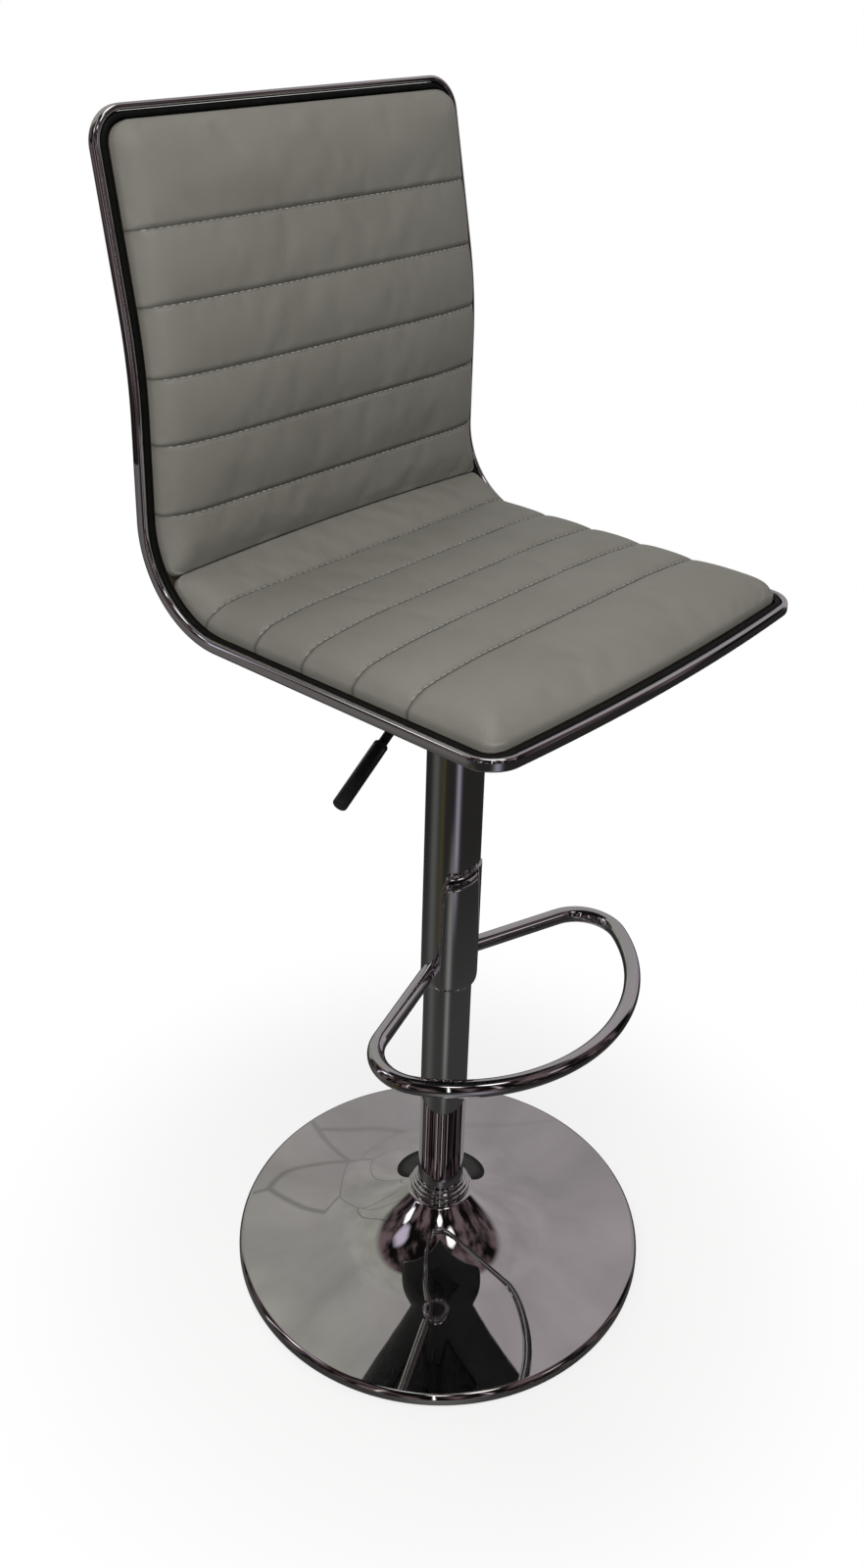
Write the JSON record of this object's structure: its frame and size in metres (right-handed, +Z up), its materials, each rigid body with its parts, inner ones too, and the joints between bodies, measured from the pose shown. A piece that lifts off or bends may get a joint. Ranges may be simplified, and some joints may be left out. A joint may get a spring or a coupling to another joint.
{
  "type": "bar stool",
  "caption": "Adjustable swivel bar stool with a channelled padded seat and back in a chrome rim, a lever-released gas lift, a bent footrest loop and a round trumpet base.",
  "frame": {"origin": "on the floor under the column's axis", "axes": "+Z up along the column, the sitter faces -Y, the lever is on the -X side"},
  "size_m": [0.409, 0.4283, 1.1121],
  "materials": {
    "chrome": "mirror polished",
    "rubber": "matte",
    "cast_iron": "rough",
    "steel": "zinc plated",
    "black_metal": "semi-gloss black",
    "nylon": "matte",
    "grip_plastic": "glossy black",
    "edge_vinyl": "satin black",
    "rear_vinyl": "satin",
    "faux_leather": "satin, fine grain",
    "plywood": "sealed"
  },
  "bodies": {
    "base": {"base_pan": "chrome", "floor_ring": "rubber", "ballast_plate": "cast_iron", "column_flange": "steel", "flange_bolt_1": "steel", "flange_bolt_2": "steel", "flange_bolt_3": "steel", "column_collar": "chrome", "lower_column": "chrome", "column_foot": "steel", "guide_bush": "nylon", "bearing_race_lower": "steel", "bearing_ball_ring": "steel"},
    "spindle": {"piston_rod": "steel", "bearing_race_upper": "steel", "rod_clip": "steel"},
    "seat": {"gas_cylinder": "black_metal", "cover_tube": "chrome", "cover_top_ring": "nylon", "cover_bush": "nylon", "footrest_cuff": "chrome", "footrest_loop": "chrome", "taper_hub": "steel", "seat_plate": "steel", "lever_bracket": "steel", "lever_pivot_pin": "steel", "seat_bolt_1": "steel", "seat_bolt_2": "steel", "seat_bolt_3": "steel", "seat_bolt_4": "steel", "tee_nut_1": "steel", "tee_nut_2": "steel", "tee_nut_3": "steel", "tee_nut_4": "steel", "seat_shell": "plywood", "rear_cover": "rear_vinyl", "seat_frame": "chrome", "edge_band": "edge_vinyl", "seat_cushion": "faux_leather", "back_cushion": "faux_leather"},
    "lever": {"lever_rod": "black_metal", "lever_grip": "grip_plastic"},
    "release": {"release_pin": "steel"}
  },
  "joints": [
    {"name": "seat_swivel", "type": "hinge", "parent": "base", "child": "spindle", "pos_m": [0, 0, 0.03], "axis": [0, 0, 1], "continuous": true},
    {"name": "gas_lift", "type": "slide", "parent": "spindle", "child": "seat", "axis": [0, 0, 1], "range_m": [-0.19, 0.02]},
    {"name": "lever_pivot", "type": "hinge", "parent": "seat", "child": "lever", "pos_m": [-0.02641, -0.00561, 0.68444], "axis": [-0.2079, 0.9781, 0], "range_deg": [0, 6], "stiffness_Nm_per_rad": 3},
    {"name": "release_press", "type": "slide", "parent": "seat", "child": "release", "axis": [0, 0, 1], "range_m": [-0.0031, 0]}
  ],
  "couplings": [
    {"joint": "release_press", "follows": "lever_pivot", "m_per_rad": -0.029}
  ]
}
